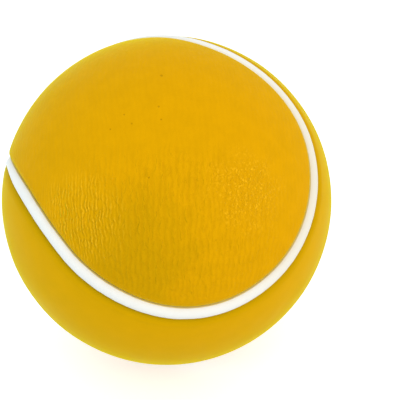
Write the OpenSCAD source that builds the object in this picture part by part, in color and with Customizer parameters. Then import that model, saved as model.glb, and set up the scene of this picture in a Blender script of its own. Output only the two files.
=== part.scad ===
// Foam tennis ball: a foam core in two interlocking dog-bone skins, with a raised white line in the seam.
// The origin is the centre of the ball, and +Z is up. Sizes are in millimetres, angles in degrees.

/* [Ball] */
// Diameter of the ball over its skin
ball_d = 63; // [60:0.5:90]
// Thickness of the dense skin round the foam
skin_t = 1.5; // [1.4:0.1:2.5]

/* [Seam] */
// Width of the white line
line_w = 2.2; // [1.6:0.1:4]
// Depth below the outside of the ball at which the skins close on the white line
line_sink = 1.1; // [0.6:0.05:1.1]
// Radius at which the skins roll over into the seam
lip_r = 1.8; // [1.5:0.1:2.2]
// Angle by which the round end of a skin hangs past the middle of the ball
lobe_tip = 20; // [14:0.5:24]

/* [Lie of the ball] */
// First turn of the seam, about X
lie_x = -64.5; // [-180:0.5:180]
// Second turn of the seam, about Y
lie_y = 50; // [-90:0.5:90]
// Third turn of the seam, about Z
lie_z = 79; // [-180:0.5:180]

/* [Hidden] */
$fn = 96;
ball_r = ball_d / 2;
core_r = ball_r - skin_t;
line_r = ball_r - line_sink;

// The seam is four equal circular arcs on the ball. This is the angle, seen from the centre of the
// ball, between the axis of an arc and the arc, at which each arc runs smoothly into the next one.
lobe_a = acos(-pow(sin(lobe_tip), 2)) / 2;
// Half of the turn that one arc makes about its own axis
arc_half = 180 - atan2(1, sin(lobe_tip));

// A short straight link carries the seam from each arc into the next. It is this much roomier on
// each side than the arcs, whose ends stop inside it, a quarter of its length from its middle.
link_l = 0.6;
link_ease = 0.01;
arc_stop = asin(link_l / 4 / (ball_r * sin(lobe_a)));
arc_turn = 2 * (arc_half - arc_stop);

// Half of the white line as an angle at the centre of the ball
function line_a(ease = 0) = asin((line_w / 2 + ease) / line_r);
// Each lip is an arc that starts at the edge of the white line. It meets the outside of the ball at
// a slight crease, because its top stands this much above it.
lip_rise = lip_r / 40;
lip_c = ball_r - lip_r + lip_rise;
lip_low = (line_r + core_r) / 2;
lip_a = line_a() + acos((pow(lip_c, 2) + pow(line_r, 2) - pow(lip_r, 2)) / (2 * lip_c * line_r));

// The top of the white line is an arc of this radius across it, level with the outside of the ball
crown_r = 0.6 * line_w;

// Reach of the cutting shapes past both faces of the skin
over = skin_t;
under_r = core_r - over;
past_r = ball_r + over;
// Angle, foot and height of the blunt cones that part the two skins inside the seam
part_a = lobe_a + line_a() / 2;
part_low = core_r * cos(part_a) / 2;
part_h = past_r;

skin_color = [0.87, 0.66, 0.03];
line_color = [0.95, 0.95, 0.93];
foam_color = [0.93, 0.86, 0.62];

// A point of an arc's section: at this distance from the centre of the ball and angle from the arc's axis
function polar(r, a) = [r * sin(a), r * cos(a)];

// Turns the seam from its own axes to the way the ball lies
module laid() {
    rotate([lie_x, lie_y, lie_z]) children();
}

// Stands its children on the axis of a round end, with +X towards the middle of the end's arc
module on_lobe() {
    rotate([0, 90 + lobe_tip, 0]) children();
}

// The two round ends of one skin
module lobe_pair() {
    for (turn = [0, 180]) rotate([0, 0, turn]) on_lobe() children();
}

// One skin's shape turned half a turn about a diagonal is the other skin's
module turned() {
    rotate(180, [1, 1, 0]) children();
}

// Section of the space between the two skins, without the lips
module channel_section(ease = 0) {
    low = lobe_a - line_a(ease);
    high = lobe_a + line_a(ease);
    polygon([polar(under_r, low), polar(past_r, low), polar(past_r, high), polar(under_r, high)]);
}

// Section of the white line: the channel up to a round top
module line_section(ease = 0) {
    intersection() {
        channel_section(ease);
        translate(polar(ball_r - crown_r, lobe_a)) circle(r = crown_r + ease);
    }
}

// Section of what the lip on one side rounds away
module lip_section(side, ease = 0) {
    near = lobe_a + side * line_a() / 2;
    far = lobe_a + side * lip_a;
    difference() {
        polygon([polar(lip_low, near), polar(past_r, near), polar(past_r, far), polar(lip_low, far)]);
        translate(polar(lip_c, far)) circle(r = lip_r - ease);
    }
}

// Section of the groove: the channel and both rounded lips
module groove_section(ease = 0) {
    channel_section(ease);
    lip_section(-1, ease);
    lip_section(1, ease);
}

// Sweeps a section round the arc of one round end
module arc_sweep() {
    rotate([0, 0, -arc_turn / 2]) rotate_extrude(angle = arc_turn) children();
}

// Draws a section out straight at both ends of one arc
module link_sweep() {
    for (end = [-1, 1]) rotate([90, 0, end * arc_half])
        linear_extrude(height = link_l, center = true) children();
}

// The white line of the whole seam, down into the core
module line_sweep() {
    lobe_pair() arc_sweep() line_section();
    turned() lobe_pair() arc_sweep() line_section();
    lobe_pair() link_sweep() line_section(link_ease);
}

// The groove of the whole seam
module groove() {
    lobe_pair() arc_sweep() groove_section();
    turned() lobe_pair() arc_sweep() groove_section();
    lobe_pair() link_sweep() groove_section(link_ease);
}

// Blunt cone over one round end, out to a little past the middle of the white line
module lobe_cone() {
    translate([0, 0, part_low])
        cylinder(h = part_h - part_low, r1 = part_low * tan(part_a), r2 = part_h * tan(part_a));
}

// The half of space where a skin has only its round ends, without those ends
module waist_side() {
    difference() {
        translate([-past_r, -past_r, -past_r]) cube([2 * past_r, 2 * past_r, past_r]);
        lobe_pair() lobe_cone();
    }
}

// One dog-bone skin in the seam's own axes: the ball's skin parted along the white line, less the groove
module skin_panel() {
    difference() {
        difference() {
            sphere(r = ball_r);
            sphere(r = core_r);
            turned() lobe_pair() lobe_cone();
            waist_side();
        }
        groove();
    }
}

module foam_core() {
    color(foam_color) sphere(r = core_r);
}

module skin_panel_front() {
    color(skin_color) laid() skin_panel();
}

module skin_panel_back() {
    color(skin_color) laid() turned() skin_panel();
}

module seam_line() {
    color(line_color) laid() difference() {
        line_sweep();
        sphere(r = core_r);
    }
}

foam_core();
skin_panel_front();
skin_panel_back();
seam_line();
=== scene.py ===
import math

import bpy
import numpy as np
from mathutils import Matrix


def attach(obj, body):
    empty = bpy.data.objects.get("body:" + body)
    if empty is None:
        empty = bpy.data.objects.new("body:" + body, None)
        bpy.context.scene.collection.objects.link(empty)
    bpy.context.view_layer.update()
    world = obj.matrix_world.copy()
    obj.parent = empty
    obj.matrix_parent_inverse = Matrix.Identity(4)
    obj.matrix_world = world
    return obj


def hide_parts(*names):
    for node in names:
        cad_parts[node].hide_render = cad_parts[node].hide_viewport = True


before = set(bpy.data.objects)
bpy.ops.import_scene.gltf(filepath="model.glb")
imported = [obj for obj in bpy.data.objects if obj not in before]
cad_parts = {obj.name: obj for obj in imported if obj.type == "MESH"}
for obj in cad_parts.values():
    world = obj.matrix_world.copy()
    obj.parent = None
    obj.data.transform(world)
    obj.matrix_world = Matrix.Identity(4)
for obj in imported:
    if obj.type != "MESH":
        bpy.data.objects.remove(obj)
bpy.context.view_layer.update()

# Sizes of the ball, the same as in the part's source, in metres and radians
BALL_R = 0.0315
SKIN_T = 0.0015
LINE_W = 0.0022
LINE_SINK = 0.0011
LIP_R = 0.0018
CROWN_R = 0.6 * LINE_W
LOBE_TIP = math.radians(20)
LIE_X, LIE_Y, LIE_Z = math.radians(-64.5), math.radians(50), math.radians(79)

CORE_R = BALL_R - SKIN_T
LINE_R = BALL_R - LINE_SINK
LOBE_ANGLE = math.acos(-math.sin(LOBE_TIP) ** 2) / 2
ARC_HALF = math.pi - math.atan2(1, math.sin(LOBE_TIP))
LINE_HALF = math.asin(LINE_W / 2 / LINE_R)
LIP_REACH = math.sqrt(LIP_R ** 2 - (LIP_R - LINE_SINK) ** 2)
TIP_COS, TIP_SIN = math.cos(LOBE_TIP), math.sin(LOBE_TIP)

MILLI = 0.001
# Least divisor, so that nothing is divided by zero
TINY = 1e-6

# Middles of the round ends in the seam's own axes: 0 and 2 belong to one skin, 1 and 3 to the other
LOBE_MIDDLES = np.array([
    [TIP_COS, 0, -TIP_SIN],
    [0, TIP_COS, TIP_SIN],
    [-TIP_COS, 0, -TIP_SIN],
    [0, -TIP_COS, TIP_SIN],
])

# Turn from the seam's own axes to the part's axes
TURN_X, TURN_Y, TURN_Z = (
    Matrix.Rotation(angle, 3, axis) for angle, axis in ((LIE_X, "X"), (LIE_Y, "Y"), (LIE_Z, "Z")))
LAID = np.array(TURN_Z @ TURN_Y @ TURN_X)
# Turn from the front skin's place to the back skin's, in the seam's own axes
TURNED = np.array([[0, 1, 0], [1, 0, 0], [0, 0, -1]], float)

# The wrinkled patch of the worn round end, in metres from the end's middle, across and along the wrinkles
WRINKLE_TURN = math.radians(125.9)
PATCH_MIDDLE = np.array([-0.0025, -0.0115])
PATCH_REACH = np.array([0.0225, 0.0145])
# Noise at the patch's edge: height, cell and seed, and the shares of its reach between which the patch fades
PATCH_RAGGED, PATCH_CELL, PATCH_SEED = 0.16, 4 * MILLI, 40
PATCH_FADE = (0.62, 1.12)
# Share of the wrinkles that goes on over the rest of that round end
FAINT_WRINKLES = 0.22
# Other marked spots of that round end: millimetres across and along the wrinkles, and the reach
# The low-left spot is painted shade: that round end drawn darker at its lower left, away from the key lamp,
# where its folds shade it
SPOTS = {"ridged": (-18.5, -10, 10.5), "flecked": (9.5, -5.5, 8.5), "low_left_shade": (-11, -18, 17)}
# Noise at a spot's edge: height, cell and seed, and the shares of its reach between which a spot fades
SPOT_RAGGED, SPOT_CELL, SPOT_SEED = 0.2, 3 * MILLI, 45
SPOT_FADE = (0.3, 1.0)
# Pinholes of that round end: millimetres across and along the wrinkles, and the radius
PINHOLES = [(-3.28, 12.70, 0.28), (-4.22, 7.53, 0.22), (-4.03, 5.38, 0.20), (-9.46, 6.55, 0.20),
            (-8.48, 4.94, 0.18), (-11.86, 4.39, 0.18), (-6.13, -3.84, 0.17)]
# Seeds of the two skins' noise, and the third number of a place laid flat, which tells two round ends apart
FRONT_SEED, BACK_SEED = 100, 200
END_MARK = 0.05
WORN_END_MARK = FRONT_SEED * MILLI - END_MARK

# How far the real seam wanders out from the true one, at each step round the front round end's middle
WANDER_STEP = math.radians(20)
SEAM_WANDER = np.radians([-0.67, 0.71, -0.33, -0.79, 0.45, 1.15, 0.36, -0.11, -0.79,
                          -0.85, -0.08, -0.76, -0.43, 3.47, 9.80, 9.00, 5.20, 0.90])
WANDER_AT = np.arange(len(SEAM_WANDER)) * WANDER_STEP - math.pi
# Angle over which the wandering fades beside the seam, and angles from the middle between which it comes in
WANDER_FADE = 0.45
WANDER_FROM, WANDER_FULL = 0.1, 0.5
# Way to the place where the seam lies flush, and its reach as an angle
FLUSH_WAY = np.array([-0.4848, 0.4141, 0.7704])
FLUSH_REACH = 0.17
# Drop at the line's middle there: its top slopes from the back skin down to the front skin's lip
FLUSH_DROP = 0.22 * MILLI
# How far the back skin's edge creeps over the line there, and how far to both sides of that edge it pulls
CREEP = 0.0015 / BALL_R
CREEP_FADE = 0.07

# Unevenness of the skins all over: heights, and noise cells to one radius of the ball
DENT_HEIGHT, DENT_CELLS = 0.035 * MILLI, 3.1
DIMPLE_HEIGHT, DIMPLE_CELLS = 0.012 * MILLI, 9.0
# Share of it at the white line, the depths between which it grows to the whole, and the room left for it
RIM_SHARE = 0.25
CALM_DEPTH, FULL_DEPTH = 0.2 * MILLI, 2.2 * MILLI
SKIN_ROOM = 0.04 * MILLI
# Folds of the wrinkled patch: height, size of a noise cell across and along, and how far they bend
FOLD_HEIGHT = 0.022 * MILLI
FOLD_ACROSS, FOLD_ALONG, FOLD_END_CELLS = 1.25 * MILLI, 6.5 * MILLI, 90
FOLD_BEND, FOLD_BEND_CELL = 0.9, 5.5 * MILLI
# Added to a skin's seed for the noise of its dimples, of the folds' bend and of the folds
DIMPLE_SEED, BEND_SEED, FOLD_SEED = 10, 20, 30

# Cross lines of half a skin: over the waist, from there to the round end's middle, and on to the tip
WAIST_ROWS, END_ROWS, TIP_ROWS = 36, 106, 114
WAIST_ANGLE = math.radians(38)
# Points of one ring of a skin over its outside and along its inside
OUTER_POINTS, INNER_POINTS = 188, 8
# Share of the way to the edge where the points beside it lie, and how evenly the rest are spread
EDGE_SUPPORT = 0.999
EVEN_SHARE = 0.65

# Points of the white line: along one arc, over the top between its edges, and down each flank
ARC_POINTS, TOP_POINTS, FLANK_POINTS = 300, 13, 4
# Share of the half width where the points beside the top's edges lie, and from where a point is on a flank
TOP_SUPPORT = 0.985
FLANK_FROM = 0.995
# Height of the white line's top above the ball's outside, and share by which its flanks press into the lips
PAINT_RISE = 0.00012
LINE_PRESS = 0.04
# Unevenness of the line's top and width: height or share, noise cells to one radius of the ball, and seed
LINE_DENTS = ((0.02 * MILLI, 24, 70), (0.01 * MILLI, 60, 74))
LINE_SWELLS = ((0.035, 12, 60), (0.03, 40, 65))

# The foam's rings and the points of each
FOAM_ROWS, FOAM_COLUMNS = 178, 360
# Room between the foam and the skins, and the foam's slow swell: height, noise cells to one radius, and seed
FOAM_ROOM = 0.02 * MILLI
FOAM_SWELL, FOAM_SWELL_CELLS, FOAM_SWELL_SEED = 0.04 * MILLI, 5, 99
# Cut cells of the foam: depth of a large pit, share of it in a small one, and the noise where it is full
PIT_DEPTH, SMALL_PIT_SHARE, PIT_FULL = 0.16 * MILLI, 0.5, 0.6
# Large and small pits: noise cells to one radius of the ball, seed, and the noise at which a pit starts
LARGE_PITS, SMALL_PITS = (21, 90, 0.05), (43, 95, 0.1)

# Numbers that mix a lattice corner into one that looks random
AXIS_PRIMES = np.array([73856093, 19349663, 83492791])
SEED_PRIME = 2654435761
MIXING = ((13, 1274126177), (15, 668265263))
LAST_SHIFT = 14
LOW_BITS = 0x7FFFFFFF
# Gain that brings the soft noise to about -1 to 1
NOISE_GAIN = 1.5


# Surfaces

def smooth_step(low, high, value):
    """0 below low and 1 above high, with a cubic ease between them."""
    t = np.clip((value - low) / (high - low), 0, 1)
    return t * t * (3 - 2 * t)


def lattice_value(corner, seed):
    """One number from -1 to 1 for each lattice corner, by mixing its three whole numbers and the seed."""
    spun = corner.astype(np.int64) * AXIS_PRIMES
    mixed = spun[..., 0] ^ spun[..., 1] ^ spun[..., 2] ^ seed * SEED_PRIME
    for shift, factor in MIXING:
        mixed = (mixed ^ (mixed >> shift)) * factor & LOW_BITS
    return (mixed ^ (mixed >> LAST_SHIFT)) / (LOW_BITS // 2) - 1


def soft_noise(points, seed):
    """Gradient noise: at each of the 8 lattice corners round a point, a fixed random slope times the way
    from the corner to the point, blended by a fifth-degree ease along each axis. About -1 to 1."""
    base = np.floor(points)
    part = points - base
    ease = part ** 3 * (part * (part * 6 - 15) + 10)
    total = np.zeros(points.shape[:-1])
    for step in np.ndindex(2, 2, 2):
        corner = base + step
        away = points - corner
        slope = np.stack([lattice_value(corner, seed + axis) for axis in (1, 2, 3)], -1)
        weight = np.where(np.array(step) == 1, ease, 1 - ease).prod(-1)
        total += weight * (slope * away).sum(-1)
    return total * NOISE_GAIN


def noise_sum(points, layers):
    """Sum of soft noises, each given as its height, its cells to one unit of the points, and its seed."""
    return sum(height * soft_noise(points * cells, seed) for height, cells, seed in layers)


def add_mesh(name, points, quads, triangles):
    """A smooth-shaded mesh object of these points and faces, with every face turned outwards: the sum of the
    tetrahedra from the ball's middle to the faces is above zero on a shape whose faces point out."""
    corners = np.concatenate([quads[:, [0, 1, 2]], quads[:, [0, 2, 3]], triangles])
    a, b, c = points[corners[:, 0]], points[corners[:, 1]], points[corners[:, 2]]
    if (a * np.cross(b, c)).sum() < 0:
        quads, triangles = quads[:, ::-1], triangles[:, ::-1]
    mesh = bpy.data.meshes.new(name)
    mesh.from_pydata(points.tolist(), [], quads.tolist() + triangles.tolist())
    mesh.polygons.foreach_set("use_smooth", np.ones(len(mesh.polygons), bool))
    mesh.update()
    piece = bpy.data.objects.new(name, mesh)
    bpy.context.scene.collection.objects.link(piece)
    return piece


def keep_number(piece, name, values):
    """Keeps one number for each point of a piece, under a name that its material reads."""
    kept = piece.data.attributes.new(name, "FLOAT", "POINT")
    kept.data.foreach_set("value", values.astype(np.float32))


def ring_faces(rows, columns, wrap):
    """Quads between neighbouring rings of a grid, each ring closed on itself, and the last ring joined to
    the first where wrap is true."""
    last = rows if wrap else rows - 1
    row, column = np.meshgrid(np.arange(last), np.arange(columns), indexing="ij")
    below, beside = (row + 1) % rows, (column + 1) % columns
    quads = np.stack([row * columns + column, row * columns + beside,
                      below * columns + beside, below * columns + column], -1)
    return quads.reshape(-1, 4)


def end_faces(ring, poles, flip):
    """Faces from one ring to the end points that its columns close on: a triangle where two neighbouring
    columns share an end point, and a quad where they don't."""
    beside, beside_pole = np.roll(ring, -1), np.roll(poles, -1)
    quads = np.stack([ring, beside, beside_pole, poles], -1)
    same = poles == beside_pole
    triangles = quads[same][:, :3]
    quads = quads[~same]
    return (quads[:, ::-1], triangles[:, ::-1]) if flip else (quads, triangles)


def angle_to(way, middle):
    """Angle between directions and a middle."""
    return np.arccos(np.clip(way @ middle, -1, 1))


def skin_depth(way):
    """How far a direction in a skin lies from the edge of the white line, in metres along the ball. In the
    waist's zone that is the angle to the nearer round end of the other skin less the angle of its edge.
    In the round ends' zone it is the angle of their edge less the angle to their middle."""
    angles = angle_to(way, LOBE_MIDDLES.T)
    waist = np.minimum(angles[..., 1], angles[..., 3]) - LOBE_ANGLE - LINE_HALF
    ends = LOBE_ANGLE - LINE_HALF - np.minimum(angles[..., 0], angles[..., 2])
    side = (np.abs(way[..., 0]) - np.abs(way[..., 1])) * TIP_SIN + way[..., 2] * TIP_COS
    return np.where(side > 0, waist, ends) * BALL_R


def flush_share(way):
    """1 about the place where the seam lies flush, fading as a bell curve of the angle from it."""
    return np.exp(-(angle_to(way, FLUSH_WAY) / FLUSH_REACH) ** 2)


def lip_height(depth):
    """Height of the skin against the ball's outside: level, and within the lip's reach of the white line a
    circular arc of the lip's radius that drops to the line."""
    off = np.clip(LIP_REACH - depth, 0, LIP_REACH)
    return np.sqrt(LIP_R ** 2 - off ** 2) - LIP_R


def end_axes(sign):
    """Middle of a skin's round end, and the ways across and along its wrinkles. Sign tells the two ends
    apart."""
    zero = np.zeros_like(sign)
    middle = np.stack([sign * TIP_COS, zero, zero - TIP_SIN], -1)
    south = np.stack([-sign * TIP_SIN, zero, zero - TIP_COS], -1)
    side = np.stack([zero, sign, zero], -1)
    along = math.cos(WRINKLE_TURN) * south + math.sin(WRINKLE_TURN) * side
    return middle, np.cross(along, middle), along


def turn_away(way, middle, amount):
    """Directions turned away from a middle by these angles."""
    rim = way - (way @ middle)[..., None] * middle
    rim = rim / np.maximum(np.linalg.norm(rim, axis=-1, keepdims=True), TINY)
    off = angle_to(way, middle) + amount
    return np.cos(off)[..., None] * middle + np.sin(off)[..., None] * rim


def spline_share(apart):
    """Weight of a cubic spline's point that is this many steps away: one cubic up to the first step, and
    another that meets it smoothly and reaches 0 at the second step."""
    near = 4 - 6 * apart ** 2 + 3 * apart ** 3
    far = np.clip(2 - apart, 0, None) ** 3
    return np.where(apart < 1, near, far) / 6


def wander(way):
    """Directions moved as the real seam wanders: the angle from the front round end's middle grows by an
    amount that a cubic spline draws through the steps round it, and that fades as a bell curve to both
    sides of the seam. Where the seam lies flush, the back skin's edge creeps over the line, also by a bell
    curve."""
    edge = angle_to(way, LOBE_MIDDLES[1]) - LOBE_ANGLE + LINE_HALF
    creep = CREEP * np.sqrt(flush_share(way)) * np.exp(-(edge / CREEP_FADE) ** 2)
    way = turn_away(way, LOBE_MIDDLES[1], creep)
    middle, across, along = end_axes(np.array(-1.0))
    turn = np.arctan2(way @ along, way @ across)[..., None] - WANDER_AT
    apart = np.abs((turn + math.pi) % (2 * math.pi) - math.pi) / WANDER_STEP
    off = angle_to(way, middle)
    fade = np.exp(-((off - LOBE_ANGLE) / WANDER_FADE) ** 2) * smooth_step(WANDER_FROM, WANDER_FULL, off)
    return turn_away(way, middle, (spline_share(apart) * SEAM_WANDER).sum(-1) * fade)


def end_coordinates(way):
    """Places on the nearer round end, laid flat: the angle from the end's middle times the ball's radius,
    split into across and along the wrinkles. The third number tells the two ends apart."""
    sign = np.where(way[..., 0] < 0, -1.0, 1.0)
    middle, across, along = end_axes(sign)
    cosine = np.clip((way * middle).sum(-1), -1, 1)
    reach = np.arccos(cosine) * BALL_R / np.maximum(np.sqrt(1 - cosine ** 2), TINY)
    return np.stack([reach * (way * across).sum(-1), reach * (way * along).sum(-1), sign * END_MARK], -1)


def wrinkle_mask(flat):
    """1 in the wrinkled patch of a round end, an ellipse, fading to 0 round it over a noisy edge."""
    off = np.sqrt((((flat[..., :2] - PATCH_MIDDLE) / PATCH_REACH) ** 2).sum(-1))
    ragged = PATCH_RAGGED * soft_noise(flat / PATCH_CELL, PATCH_SEED)
    return 1 - smooth_step(*PATCH_FADE, off + ragged)


def spot_mask(flat, across, along, reach):
    """1 about a place on a round end, given in millimetres, fading to 0 at this reach over a noisy edge."""
    off = np.hypot(flat[..., 0] / MILLI - across, flat[..., 1] / MILLI - along) / reach
    ragged = SPOT_RAGGED * soft_noise(flat / SPOT_CELL, SPOT_SEED)
    return 1 - smooth_step(*SPOT_FADE, off + ragged)


def skin_relief(way, flat, mask, seed):
    """Small heights on a skin, in metres: a broad unevenness of the foam all over, and in the wrinkled patch
    noise drawn out along the wrinkles, bent by a slower noise."""
    dents = (DENT_HEIGHT, DENT_CELLS, seed)
    dimples = (DIMPLE_HEIGHT, DIMPLE_CELLS, seed + DIMPLE_SEED)
    bend = FOLD_BEND * soft_noise(flat / FOLD_BEND_CELL, seed + BEND_SEED)
    drawn_out = np.stack([flat[..., 0] / FOLD_ACROSS + bend, flat[..., 1] / FOLD_ALONG,
                          flat[..., 2] * FOLD_END_CELLS], -1)
    folds = FOLD_HEIGHT * mask * soft_noise(drawn_out, seed + FOLD_SEED)
    return noise_sum(way, (dents, dimples)) + folds


def skin_rows():
    """Angles of a skin's cross lines from its waist, and the angle of its tips. The lines are wide apart
    over the waist and closer on the round ends. From each end's middle to its tip they follow the sine of an
    even angle, so that they close up at the tip."""
    middle = math.pi / 2 + LOBE_TIP
    reach = LOBE_ANGLE - LINE_HALF
    from_waist = np.linspace(0, WAIST_ANGLE, WAIST_ROWS)[1:]
    to_middle = np.linspace(WAIST_ANGLE, middle, END_ROWS)[1:]
    to_tip = middle + reach * np.sin(np.linspace(0, math.pi / 2, TIP_ROWS)[1:-1])
    half = np.concatenate([from_waist, to_middle, to_tip])
    return np.concatenate([-half[::-1], [0.0], half]), middle + reach


def skin_width(angle):
    """Half length of the cross line at this angle from the waist, as an angle. On a round end it is where
    the line meets the end's circle. Nearer the waist it is where it meets the circle of the other skin's
    end."""
    edge_in, edge_out = LOBE_ANGLE - LINE_HALF, LOBE_ANGLE + LINE_HALF
    join = math.sin(edge_out) * LOBE_MIDDLES[0] + math.sin(edge_in) * LOBE_MIDDLES[1]
    join_angle = math.atan2(join[0], join[2])
    size = np.abs(angle)
    off = np.cos(size - math.pi / 2 - LOBE_TIP)
    end = np.arccos(np.clip(math.cos(edge_in) / np.maximum(off, TINY), -1, 1))
    tall = np.sqrt(TIP_COS ** 2 + (np.cos(size) * TIP_SIN) ** 2)
    lean = np.arctan2(np.cos(size) * TIP_SIN, TIP_COS)
    waist = np.arcsin(np.clip(math.cos(edge_out) / tall, -1, 1)) - lean
    return np.where(size > join_angle, end, waist)


def across_ball(angle, side):
    """Direction at this angle along a skin's middle line, and this angle to its side."""
    return np.stack([np.cos(side) * np.sin(angle), np.sin(side), np.cos(side) * np.cos(angle)], -1)


def skin_faces(rows, columns):
    """Faces between a skin's rings, and from its first and last rings to the two points at each tip, one for
    the outside and one for the inside."""
    ring = np.arange(columns)
    poles = rows * columns + np.where(ring < OUTER_POINTS, 0, 1)
    low_quads, low_triangles = end_faces(ring, poles, True)
    high_quads, high_triangles = end_faces(ring + (rows - 1) * columns, poles + 2, False)
    quads = np.concatenate([ring_faces(rows, columns, False), low_quads, high_quads])
    return quads, np.concatenate([low_triangles, high_triangles])


def make_skin(name, place, seed, level, shade, worn):
    """One dog-bone skin as rings along its middle line: each ring runs over the outside from edge to edge,
    down the edge to the foam, and back along the inside. The rings close on two points at each tip. Level is
    the share of the lip's drop that is lost where the seam lies flush, shade is the depth and the reach in
    millimetres of the shade beside the line, and worn is 1 on the skin whose front end is wrinkled."""
    angles, tip = skin_rows()
    even = np.linspace(-1, 1, OUTER_POINTS - 2)
    inset = EDGE_SUPPORT * (EVEN_SHARE * even + (1 - EVEN_SHARE) * np.sin(even * math.pi / 2))
    share = np.concatenate([[-1], inset, [1], np.linspace(1, -1, INNER_POINTS)])
    side = skin_width(angles)[:, None] * share
    rows, columns = side.shape
    way = across_ball(np.broadcast_to(angles[:, None], side.shape), side)
    ends = across_ball(np.array([-tip, -tip, tip, tip]), np.zeros(4))
    way = np.concatenate([way.reshape(-1, 3), ends])
    outside = np.tile(np.arange(columns) < OUTER_POINTS, rows)
    outside = np.concatenate([outside, [True, False, True, False]])

    flat = end_coordinates(way) + np.array([0, 0, seed * MILLI])
    depth = np.maximum(skin_depth(way), 0)
    calm = smooth_step(CALM_DEPTH, FULL_DEPTH, depth)
    calm_end = calm * np.where(way[:, 0] < 0, worn, 0)
    mask = np.maximum(wrinkle_mask(flat), FAINT_WRINKLES) * calm_end
    uneven = skin_relief(way, flat, mask, seed) * (RIM_SHARE + (1 - RIM_SHARE) * calm)
    laid = way @ place.T
    lip = lip_height(depth) * (1 - level * flush_share(laid))
    radius = np.where(outside, BALL_R + lip + uneven - SKIN_ROOM, CORE_R)
    points = (wander(laid) * radius[:, None]) @ LAID.T
    skin = add_mesh(name, points, *skin_faces(rows, columns))

    grain = skin.data.attributes.new("grain", "FLOAT_VECTOR", "POINT")
    grain.data.foreach_set("vector", flat.astype(np.float32).ravel())
    keep_number(skin, "wrinkled", mask)
    for spot, where in SPOTS.items():
        keep_number(skin, spot, spot_mask(flat, *where) * calm_end)
    shade_depth, shade_reach = shade
    keep_number(skin, "shaded", shade_depth * np.exp(-depth / (shade_reach * MILLI)))
    keep_number(skin, "fresh", np.full(len(way), 1 - worn))
    return skin


def seam_path(count):
    """Directions along the middle of the seam, and at each the direction across it. The seam is four
    circular arcs about the round ends' middles, each from one touching point to the next. Count is the
    points of one arc."""
    turn = np.linspace(-ARC_HALF, ARC_HALF, count, endpoint=False)[:, None]
    firsts = np.array([
        [-TIP_SIN, 0, -TIP_COS],
        [0, -TIP_SIN, TIP_COS],
        [TIP_SIN, 0, -TIP_COS],
        [0, TIP_SIN, TIP_COS],
    ])
    seconds = np.array([[0, 1, 0], [-1, 0, 0], [0, -1, 0], [1, 0, 0]], float)
    sines, cosines = math.sin(LOBE_ANGLE), math.cos(LOBE_ANGLE)
    ways, sides = [], []
    for end, middle in enumerate(LOBE_MIDDLES):
        out = np.cos(turn) * firsts[end] + np.sin(turn) * seconds[end]
        ways.append(cosines * middle + sines * out)
        sides.append((cosines * out - sines * middle) * (1 if end % 2 == 0 else -1))
    return np.concatenate(ways), np.concatenate(sides)


def make_line(name):
    """The white line: a rib swept along the seam. Its section is the part's: a round top across it, which
    stands a hair above the ball as a coat of paint does, and two flanks down to the foam. The top is a
    little uneven, and the flanks press into the lips by an amount that wanders along the seam. Where the
    seam lies flush, the top is a straight slope instead."""
    way, side = seam_path(ARC_POINTS)
    half = LINE_W / 2
    over_top = np.linspace(-TOP_SUPPORT, TOP_SUPPORT, TOP_POINTS)
    lean = np.concatenate([[-1], over_top, [1]]) * math.asin(half / CROWN_R)
    top_edge = CROWN_R * (math.cos(lean[0]) - 1)
    down = top_edge + (-SKIN_T - top_edge) * np.linspace(0, 1, FLANK_POINTS + 1)[1:]
    beside = np.full(FLANK_POINTS, half)
    across = np.concatenate([CROWN_R * np.sin(lean), beside, -beside])
    height = np.concatenate([PAINT_RISE + CROWN_R * (np.cos(lean) - 1), down, down[::-1]])
    on_top = np.concatenate([np.cos(lean / lean[0] * math.pi / 2) + TINY, np.zeros(2 * FLANK_POINTS)])

    slope = np.where(on_top > 0, FLUSH_DROP * (across / half - 1), height)
    height = height + (slope - height) * flush_share(way)[:, None]
    place = way[:, None] + across[:, None] / BALL_R * side[:, None]
    radius = BALL_R + height + noise_sum(place, LINE_DENTS) * on_top
    angle = across * (1 + noise_sum(place, LINE_SWELLS) + LINE_PRESS) / LINE_R
    points = np.cos(angle)[..., None] * way[:, None] + np.sin(angle)[..., None] * side[:, None]
    points = (wander(points) * radius[..., None]).reshape(-1, 3) @ LAID.T
    line = add_mesh(name, points, ring_faces(len(way), len(across), True), np.zeros((0, 3), int))
    keep_number(line, "flank", np.tile(np.abs(across) > FLANK_FROM * half, len(way)))
    return line


def pit_mask(way, cells, seed, start):
    """0 between the foam's pits, rising to 1 in their middles, where a noise is high."""
    return smooth_step(start, PIT_FULL, soft_noise(way * cells, seed))


def make_foam(name):
    """The foam ball: a globe of rings whose radius is the foam's, less a slow swell and the cut cells that
    its surface shows, which are pits where a large and a small noise are high."""
    polar = np.linspace(0, math.pi, FOAM_ROWS + 2)[1:-1, None]
    bearing = np.linspace(0, 2 * math.pi, FOAM_COLUMNS, endpoint=False)[None, :]
    way = np.stack([np.sin(polar) * np.cos(bearing), np.sin(polar) * np.sin(bearing),
                    np.cos(polar) + 0 * bearing], -1).reshape(-1, 3)
    way = np.concatenate([way, [[0, 0, 1], [0, 0, -1]]])
    pits = PIT_DEPTH * (pit_mask(way, *LARGE_PITS) + SMALL_PIT_SHARE * pit_mask(way, *SMALL_PITS))
    swell = FOAM_SWELL * (1 + soft_noise(way * FOAM_SWELL_CELLS, FOAM_SWELL_SEED))
    points = way * (CORE_R - FOAM_ROOM - swell - pits)[:, None]
    ring = np.arange(FOAM_COLUMNS)
    top = np.full(FOAM_COLUMNS, FOAM_ROWS * FOAM_COLUMNS)
    first = end_faces(ring, top, True)[1]
    last = end_faces(ring + (FOAM_ROWS - 1) * FOAM_COLUMNS, top + 1, False)[1]
    return add_mesh(name, points, ring_faces(FOAM_ROWS, FOAM_COLUMNS, False), np.concatenate([first, last]))


# Materials

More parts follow.
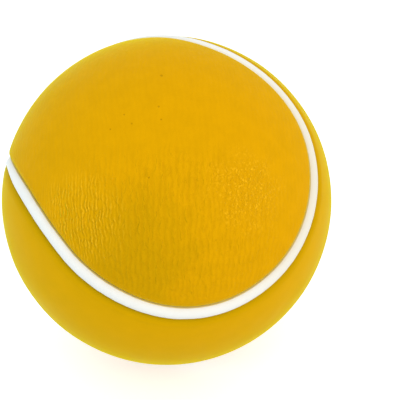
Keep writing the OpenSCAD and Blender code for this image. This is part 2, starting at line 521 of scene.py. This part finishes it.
def linear(red, green, blue):
    """A colour written as 0 to 255 display values, as the linear light that a shader takes."""
    value = np.array([red, green, blue]) / 255
    light = np.where(value <= 0.04045, value / 12.92, ((value + 0.055) / 1.055) ** 2.4)
    return (*light.tolist(), 1.0)


def add_node(tree, kind, **settings):
    """A shader node with these settings; a setting whose name isn't an attribute is an input's value."""
    node = tree.nodes.new(kind)
    for name, value in settings.items():
        if hasattr(node, name):
            setattr(node, name, value)
        else:
            node.inputs[name.replace("_", " ")].default_value = value
    return node


def feed(tree, slot, value):
    """Gives an input a socket to read or a value of its own."""
    if isinstance(value, bpy.types.NodeSocket):
        tree.links.new(value, slot)
    else:
        slot.default_value = value


def new_group(name, inputs, outputs):
    """An empty shader node group with these sockets, given as name to (socket kind, value)."""
    tree = bpy.data.node_groups.new(name, "ShaderNodeTree")
    for socket, (kind, value) in inputs.items():
        made = tree.interface.new_socket(socket, in_out="INPUT", socket_type=kind)
        if value is not None:
            made.default_value = value
    for socket, kind in outputs.items():
        tree.interface.new_socket(socket, in_out="OUTPUT", socket_type=kind)
    return tree, add_node(tree, "NodeGroupInput"), add_node(tree, "NodeGroupOutput")


def mottle_group():
    """Slow blotches: noise at a scale, drawn out to the range from Low to High."""
    tree, given, result = new_group("mottle", {
        "Vector": ("NodeSocketVector", None), "Scale": ("NodeSocketFloat", 60.0),
        "Low": ("NodeSocketFloat", 0.0), "High": ("NodeSocketFloat", 1.0)}, {"Value": "NodeSocketFloat"})
    noise = add_node(tree, "ShaderNodeTexNoise", Detail=3.0, Roughness=0.55)
    drawn_out = add_node(tree, "ShaderNodeMapRange", From_Min=0.32, From_Max=0.68)
    tree.links.new(given.outputs["Vector"], noise.inputs["Vector"])
    tree.links.new(given.outputs["Scale"], noise.inputs["Scale"])
    tree.links.new(noise.outputs["Fac"], drawn_out.inputs["Value"])
    tree.links.new(given.outputs["Low"], drawn_out.inputs["To Min"])
    tree.links.new(given.outputs["High"], drawn_out.inputs["To Max"])
    tree.links.new(drawn_out.outputs["Result"], result.inputs["Value"])
    return tree


def grain_group():
    """Fine pebbled grain: small rounded cells and a finer noise, added to one height."""
    tree, given, result = new_group("fine_grain", {
        "Vector": ("NodeSocketVector", None), "Scale": ("NodeSocketFloat", 2500.0)},
        {"Height": "NodeSocketFloat"})
    cells = add_node(tree, "ShaderNodeTexVoronoi", feature="SMOOTH_F1", Smoothness=0.6)
    noise = add_node(tree, "ShaderNodeTexNoise", Detail=2.0)
    both = add_node(tree, "ShaderNodeMath", operation="ADD")
    for texture in (cells, noise):
        tree.links.new(given.outputs["Vector"], texture.inputs["Vector"])
        tree.links.new(given.outputs["Scale"], texture.inputs["Scale"])
    tree.links.new(cells.outputs["Distance"], both.inputs[0])
    tree.links.new(noise.outputs["Fac"], both.inputs[1])
    tree.links.new(both.outputs["Value"], result.inputs["Height"])
    return tree


def pinhole_group():
    """One tiny hole: 1 within Radius of Place on the surface laid flat, fading out at its rim."""
    tree, given, result = new_group("pinhole", {
        "Vector": ("NodeSocketVector", None), "Place": ("NodeSocketVector", None),
        "Radius": ("NodeSocketFloat", 0.0002)}, {"Mask": "NodeSocketFloat"})
    away = add_node(tree, "ShaderNodeVectorMath", operation="DISTANCE")
    share = add_node(tree, "ShaderNodeMath", operation="DIVIDE")
    fade = add_node(tree, "ShaderNodeMapRange", interpolation_type="SMOOTHSTEP", From_Min=1.0, From_Max=0.3)
    tree.links.new(given.outputs["Vector"], away.inputs[0])
    tree.links.new(given.outputs["Place"], away.inputs[1])
    tree.links.new(away.outputs["Value"], share.inputs[0])
    tree.links.new(given.outputs["Radius"], share.inputs[1])
    tree.links.new(share.outputs["Value"], fade.inputs["Value"])
    tree.links.new(fade.outputs["Result"], result.inputs["Mask"])
    return tree


MOTTLE, GRAIN, PINHOLE = mottle_group(), grain_group(), pinhole_group()


def new_material(name):
    """A material with only a Principled shader on its output."""
    material = bpy.data.materials.new(name)
    material.use_nodes = True
    tree = material.node_tree
    return material, tree, tree.nodes["Principled BSDF"]


def object_place(tree):
    """Places in the part's own axes, in metres."""
    return add_node(tree, "ShaderNodeTexCoord").outputs["Object"]


def kept_number(tree, name):
    """The number that a piece keeps for each point under this name."""
    return add_node(tree, "ShaderNodeAttribute", attribute_name=name).outputs["Fac"]


def use_group(tree, group, vector, **values):
    """A group placed in a material, reading this vector, with these input values. Gives its one output."""
    node = add_node(tree, "ShaderNodeGroup", node_tree=group)
    tree.links.new(vector, node.inputs["Vector"])
    for name, value in values.items():
        node.inputs[name].default_value = value
    return node.outputs[0]


def blend(tree, share, first, second):
    """A colour mix whose share, and first and second colours, are sockets or values."""
    mix = add_node(tree, "ShaderNodeMix", data_type="RGBA")
    sockets = {slot.identifier: slot for slot in mix.inputs}
    for key, value in (("Factor_Float", share), ("A_Color", first), ("B_Color", second)):
        feed(tree, sockets[key], value)
    return next(slot for slot in mix.outputs if slot.identifier == "Result_Color")


def lay_tones(tree, colour, tones):
    """A colour with tones laid over it one after another, each given as what it shows, its share and itself.
    What it shows labels its node."""
    for shows, share, tone in tones:
        colour = blend(tree, share, colour, tone)
        colour.node.label = shows
    return colour


def math_node(tree, operation, first, second):
    """A sum, product or the like of two sockets or values."""
    node = add_node(tree, "ShaderNodeMath", operation=operation)
    for slot, value in zip(node.inputs, (first, second)):
        feed(tree, slot, value)
    return node.outputs["Value"]


def plus(tree, first, second):
    """Sum of two sockets or values."""
    return math_node(tree, "ADD", first, second)


def times(tree, first, second):
    """Product of two sockets or values."""
    return math_node(tree, "MULTIPLY", first, second)


def stretched(tree, vector, scale, texture):
    """A texture over the surface laid flat, with its own scale in cells a metre across and along."""
    stretch = add_node(tree, "ShaderNodeMapping")
    stretch.inputs["Scale"].default_value = scale
    tree.links.new(vector, stretch.inputs["Vector"])
    tree.links.new(stretch.outputs["Vector"], texture.inputs["Vector"])
    return texture.outputs["Fac"]


def stretched_noise(tree, vector, scale, detail, bend):
    """Noise over the surface laid flat, with its own scale across and along."""
    noise = add_node(tree, "ShaderNodeTexNoise", Scale=1.0, Detail=detail, Roughness=0.5, Distortion=bend)
    return stretched(tree, vector, scale, noise)


def stretched_waves(tree, vector, scale, bend):
    """Bent waves over the surface laid flat, with their own scale across and along."""
    waves = add_node(tree, "ShaderNodeTexWave", Scale=1.0, Distortion=bend, Detail=2.0, Detail_Scale=1.4)
    return stretched(tree, vector, scale, waves)


def spread(tree, value, given, wanted):
    """A value's given range, as a pair from low to high, drawn out to the wanted range."""
    low, high = given
    start, stop = wanted
    node = add_node(tree, "ShaderNodeMapRange", From_Min=low, From_Max=high, To_Min=start, To_Max=stop)
    tree.links.new(value, node.inputs["Value"])
    return node.outputs["Result"]


def add_bump(tree, height, strength, depth, before=None):
    """A bump of this height, whose full depth is in millimetres, over the bump before it."""
    bump = add_node(tree, "ShaderNodeBump", Strength=strength, Distance=depth * MILLI)
    tree.links.new(height, bump.inputs["Height"])
    if before is not None:
        tree.links.new(before, bump.inputs["Normal"])
    return bump.outputs["Normal"]


def pinhole_mask(tree, flat):
    """1 in every pinhole of the worn round end, the greatest of the single holes."""
    holes = 0.0
    for across, along, radius in PINHOLES:
        place = (across * MILLI, along * MILLI, WORN_END_MARK)
        hole = use_group(tree, PINHOLE, flat, Place=place, Radius=radius * MILLI)
        holes = math_node(tree, "MAXIMUM", hole, holes)
    return holes


def skin_material():
    """Golden yellow coated foam: a satin skin with slow blotches and fine grain. The worn round end has wide
    folds, tight ones in its ridged spot, flecks in another spot and a few pinholes. Painted light and shade
    lie on it: painted highlights on the folds' crests and rises, painted shade in their grooves and
    valleys, the ridged and flecked spots painted lighter, painted glints on the flecks, and painted shade
    at the low left of that end and in the pinholes. Folds are waves plus stretched cells, and beads of
    noise break them up."""
    material, tree, shader = new_material("golden_skin")
    place = object_place(tree)
    flat = add_node(tree, "ShaderNodeAttribute", attribute_name="grain").outputs["Vector"]
    patch, ridged, flecked, low_left_shade, shaded, fresh = (
        kept_number(tree, name) for name in ("wrinkled", "ridged", "flecked", "low_left_shade", "shaded", "fresh"))
    holes = pinhole_mask(tree, flat)

    wave_share, ridge_gain, patch_gain, fleck_gain = 0.6, 0.4, 0.7, 1.8
    tight_waves = stretched_waves(tree, flat, (530, 400, 60), bend=6.5)
    wide_waves = stretched_waves(tree, flat, (335, 260, 60), bend=5.0)
    tight_cells = stretched_noise(tree, flat, (2300, 1000, 40), detail=2.0, bend=0.8)
    wide_cells = stretched_noise(tree, flat, (1350, 600, 40), detail=2.0, bend=0.7)
    flecks = stretched_noise(tree, flat, (3000, 1900, 80), detail=2.0, bend=0.9)
    beads = stretched_noise(tree, flat, (1500, 700, 60), detail=1.0, bend=0.5)
    beads = spread(tree, beads, (0.38, 0.62), (0.1, 1.0))
    tight = plus(tree, times(tree, tight_waves, wave_share), tight_cells)
    wide = plus(tree, times(tree, wide_waves, wave_share), wide_cells)
    folds = plus(tree, wide, times(tree, ridged, math_node(tree, "SUBTRACT", tight, wide)))
    folded = math_node(tree, "MAXIMUM", patch, ridged)
    strength = times(tree, folded, plus(tree, times(tree, ridged, ridge_gain), patch_gain))
    fold_height = times(tree, folds, times(tree, strength, beads))
    fleck_height = times(tree, flecks, times(tree, flecked, fleck_gain))

    slow = use_group(tree, MOTTLE, place, Scale=42.0)
    fine = use_group(tree, MOTTLE, place, Scale=420.0, Low=0.0, High=0.6)
    stroke = times(tree, ridged, beads)
    # Painted light on the tight folds: a painted highlight on their crests and painted shade in their
    # grooves
    crest = times(tree, spread(tree, tight_waves, (0.5, 1.0), (0.0, 0.6)), stroke)
    groove = times(tree, spread(tree, tight_waves, (0.4, 0.0), (0.0, 0.3)), stroke)
    # Painted shade in the valleys of the wide folds and a painted highlight on their rises
    valley = times(tree, spread(tree, folds, (0.8, 0.4), (0.0, 0.2)), patch)
    rise = times(tree, spread(tree, folds, (0.85, 1.15), (0.0, 0.08)), patch)
    # Painted glints: the brightest flecks drawn lighter
    bright = times(tree, spread(tree, flecks, (0.54, 0.68), (0.0, 0.7)), flecked)
    golden, deeper = linear(217, 164, 0), linear(212, 162, 0)
    colour = lay_tones(tree, blend(tree, slow, golden, deeper), (
        ("fine blotches", fine, linear(224, 170, 0)),
        ("fresh skin", times(tree, fresh, 0.4), linear(215, 174, 0)),
        # Painted shade: the low-left spot drawn darker, standing in for the folds' shade away from the key
        # lamp
        ("dulled spot", times(tree, low_left_shade, 0.85), linear(197, 155, 0)),
        # Painted light: the ridged spot drawn lighter, standing in for the highlights on its tight folds
        ("ridged spot", times(tree, ridged, 0.2), linear(240, 184, 0)),
        # Painted highlight on the crests and painted shade in the grooves of the tight folds
        ("crests of the tight waves", crest, linear(255, 204, 40)),
        ("grooves of the tight waves", groove, linear(160, 118, 0)),
        # Painted shade in the valleys and a painted highlight on the rises of the wide folds
        ("valleys of the folds", valley, linear(176, 130, 0)),
        ("rises of the folds", rise, linear(246, 190, 10)),
        # Painted light: the flecked spot drawn lighter and its brightest flecks drawn as painted glints
        ("flecked spot", times(tree, flecked, 0.2), linear(238, 176, 6)),
        ("bright flecks", bright, linear(255, 200, 30)),
        # Painted shade: the pinholes drawn darker inside
        ("pinholes", times(tree, holes, 0.4), linear(140, 100, 0)),
        ("shade beside the line", shaded, linear(40, 105, 0)),
    ))
    tree.links.new(colour, shader.inputs["Base Color"])

    gloss = use_group(tree, MOTTLE, place, Scale=160.0, Low=0.46, High=0.56)
    shine = times(tree, flecked, 0.15)
    tree.links.new(math_node(tree, "SUBTRACT", gloss, shine), shader.inputs["Roughness"])

    pebble = use_group(tree, GRAIN, place, Scale=2600.0)
    bump = add_bump(tree, pebble, strength=0.35, depth=0.01)
    bump = add_bump(tree, plus(tree, fold_height, fleck_height), strength=1.0, depth=0.16, before=bump)
    bump = add_bump(tree, times(tree, holes, -1.0), strength=1.0, depth=0.05, before=bump)
    tree.links.new(bump, shader.inputs["Normal"])
    shader.inputs["Specular IOR Level"].default_value = 0.02
    shader.inputs["Sheen Weight"].default_value = 0.95
    shader.inputs["Sheen Roughness"].default_value = 0.3
    shader.inputs["Sheen Tint"].default_value = linear(230, 240, 35)
    return material


def line_material():
    """White satin coat, a little uneven in tone, with fine grain, painted cream at the right as warm light
    from the key lamp's side. The flanks that press on the skins have taken their yellow."""
    material, tree, shader = new_material("white_line")
    place = object_place(tree)
    slow = use_group(tree, MOTTLE, place, Scale=110.0)
    fine = use_group(tree, MOTTLE, place, Scale=900.0, Low=0.0, High=0.35)
    split = add_node(tree, "ShaderNodeSeparateXYZ")
    tree.links.new(place, split.inputs["Vector"])
    # Painted light: the line drawn cream towards the right, the side of the warm key lamp
    key_side_warmth = spread(tree, split.outputs["X"], (0.012, 0.028), (0.0, 0.8))
    clean, duller = linear(241, 249, 248), linear(237, 245, 245)
    colour = lay_tones(tree, blend(tree, slow, clean, duller), (
        ("fine blotches", fine, linear(234, 242, 242)),
        ("aged at the right", key_side_warmth, linear(224, 226, 208)),
        ("yellowed flanks", kept_number(tree, "flank"), linear(230, 226, 160)),
    ))
    tree.links.new(colour, shader.inputs["Base Color"])
    gloss = use_group(tree, MOTTLE, place, Scale=200.0, Low=0.45, High=0.6)
    tree.links.new(gloss, shader.inputs["Roughness"])
    pebble = use_group(tree, GRAIN, place, Scale=1800.0)
    tree.links.new(add_bump(tree, pebble, strength=0.4, depth=0.02), shader.inputs["Normal"])
    shader.inputs["Specular IOR Level"].default_value = 0.2
    return material


def foam_material():
    """Pale open-cell foam: dull, blotchy, with fine cut cells."""
    material, tree, shader = new_material("pale_foam")
    place = object_place(tree)
    slow = use_group(tree, MOTTLE, place, Scale=80.0)
    pale, warmer = linear(246, 236, 200), linear(232, 214, 160)
    tree.links.new(blend(tree, slow, pale, warmer), shader.inputs["Base Color"])
    rough = use_group(tree, MOTTLE, place, Scale=300.0, Low=0.85, High=1.0)
    tree.links.new(rough, shader.inputs["Roughness"])
    pebble = use_group(tree, GRAIN, place, Scale=900.0)
    tree.links.new(add_bump(tree, pebble, strength=0.8, depth=0.1), shader.inputs["Normal"])
    return material


# Pieces

SKIN, LINE, FOAM = skin_material(), line_material(), foam_material()
front_skin = make_skin("front_skin", np.eye(3), FRONT_SEED, level=0.55, shade=(0.22, 0.6), worn=1)
back_skin = make_skin("back_skin", TURNED, BACK_SEED, level=0.95, shade=(0.48, 0.8), worn=0)
white_line = make_line("white_line")
foam_ball = make_foam("foam_ball")
for piece, material, node, slot in ((front_skin, SKIN, "skin_panel_front", "skin"),
                                    (back_skin, SKIN, "skin_panel_back", "skin"),
                                    (white_line, LINE, "seam_line", "line"),
                                    (foam_ball, FOAM, "foam_core", "foam")):
    piece.data.materials.append(material)
    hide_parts(node)
    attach(piece, "root")


# Stage, light and camera

def background_rays(tree):
    """1 where the background is looked at straight, or through gloss or glass."""
    path = add_node(tree, "ShaderNodeLightPath")
    gloss = math_node(tree, "MAXIMUM", path.outputs["Is Glossy Ray"], path.outputs["Is Transmission Ray"])
    return math_node(tree, "MAXIMUM", path.outputs["Is Camera Ray"], gloss)


def choose_by_ray(tree, lights, shows, output):
    """What lights the ball, or what shows as the background, chosen by the kind of ray, on an output."""
    choose = add_node(tree, "ShaderNodeMixShader")
    tree.links.new(background_rays(tree), choose.inputs["Fac"])
    tree.links.new(lights, choose.inputs[1])
    tree.links.new(shows, choose.inputs[2])
    tree.links.new(choose.outputs["Shader"], tree.nodes[output].inputs["Surface"])


def make_floor():
    """A wide pale floor under the ball, seen by the camera as near white, with the ball's shadow on it."""
    half = 3.0
    level = -BALL_R
    corners = [(-half, -half, level), (half, -half, level), (half, half, level), (-half, half, level)]
    mesh = bpy.data.meshes.new("floor")
    mesh.from_pydata(corners, [], [(0, 1, 2, 3)])
    floor = bpy.data.objects.new("floor", mesh)
    bpy.context.scene.collection.objects.link(floor)
    material, tree, shader = new_material("pale_floor")
    pale_blue = (0.8, 0.84, 0.88, 1)
    shader.inputs["Base Color"].default_value = pale_blue
    shader.inputs["Roughness"].default_value = 0.9
    shader.inputs["Specular IOR Level"].default_value = 0.0
    glow = add_node(tree, "ShaderNodeEmission", Strength=0.55)
    both = add_node(tree, "ShaderNodeAddShader")
    tree.links.new(shader.outputs["BSDF"], both.inputs[0])
    tree.links.new(glow.outputs["Emission"], both.inputs[1])
    choose_by_ray(tree, shader.outputs["BSDF"], both.outputs["Shader"], "Material Output")
    floor.data.materials.append(material)


def make_world():
    """Even pale light from all round, seen by the camera as white."""
    world = bpy.data.worlds.new("studio")
    world.use_nodes = True
    tree = world.node_tree
    light = tree.nodes["Background"]
    white = add_node(tree, "ShaderNodeBackground")
    for background, strength in ((light, 0.88), (white, 1.0)):
        background.inputs["Color"].default_value = (1, 1, 1, 1)
        background.inputs["Strength"].default_value = strength
    choose_by_ray(tree, light.outputs["Background"], white.outputs["Background"], "World Output")
    bpy.context.scene.world = world


def add_lamp(name, way, away, size, power, colour):
    """A square soft lamp in this direction from the ball, facing it."""
    data = bpy.data.lights.new(name, "AREA")
    data.shape = "SQUARE"
    data.size = size
    data.energy = power
    data.color = colour
    lamp = bpy.data.objects.new(name, data)
    bpy.context.scene.collection.objects.link(lamp)
    back = np.array(way) / np.linalg.norm(way)
    right = np.cross([0, 0, 1], back)
    right = right / np.linalg.norm(right)
    turn = np.stack([right, np.cross(back, right), back], 1)
    lamp.matrix_world = Matrix.Translation(back * away) @ Matrix(turn.tolist()).to_4x4()


def make_camera():
    """The camera looks along +Y from above, and the ball lies a little left of the picture's middle. The
    ball's place in the camera's own axes is given in ball radii: right, up and back."""
    rise, turn, tilt = math.radians(25.78), math.radians(1.31), math.radians(-1.15)
    ball = np.array([-0.1966, -0.0019, -4.1577]) * BALL_R
    level = np.array([math.cos(turn), math.sin(turn), 0])
    back = np.array([math.sin(turn) * math.cos(rise), -math.cos(turn) * math.cos(rise), math.sin(rise)])
    right = math.cos(tilt) * level + math.sin(tilt) * np.cross(back, level)
    axes = np.stack([right, np.cross(back, right), back], 1)
    data = bpy.data.cameras.new("camera")
    data.sensor_width = 36.0
    data.lens = 59.90
    data.clip_start = 0.005
    data.clip_end = 20.0
    camera = bpy.data.objects.new("camera", data)
    bpy.context.scene.collection.objects.link(camera)
    camera.matrix_world = Matrix.Translation(-axes @ ball) @ Matrix(axes.tolist()).to_4x4()
    bpy.context.scene.camera = camera


make_floor()
make_world()
add_lamp("key_lamp", way=(0.85, -0.75, 0.5), away=0.6, size=0.45, power=1.2, colour=(1.0, 0.66, 0.42))
add_lamp("fill_lamp", way=(-1.0, -0.5, 0.25), away=0.7, size=0.5, power=0.64, colour=(1.0, 0.98, 0.94))
make_camera()
bpy.context.scene.view_settings.view_transform = "Standard"
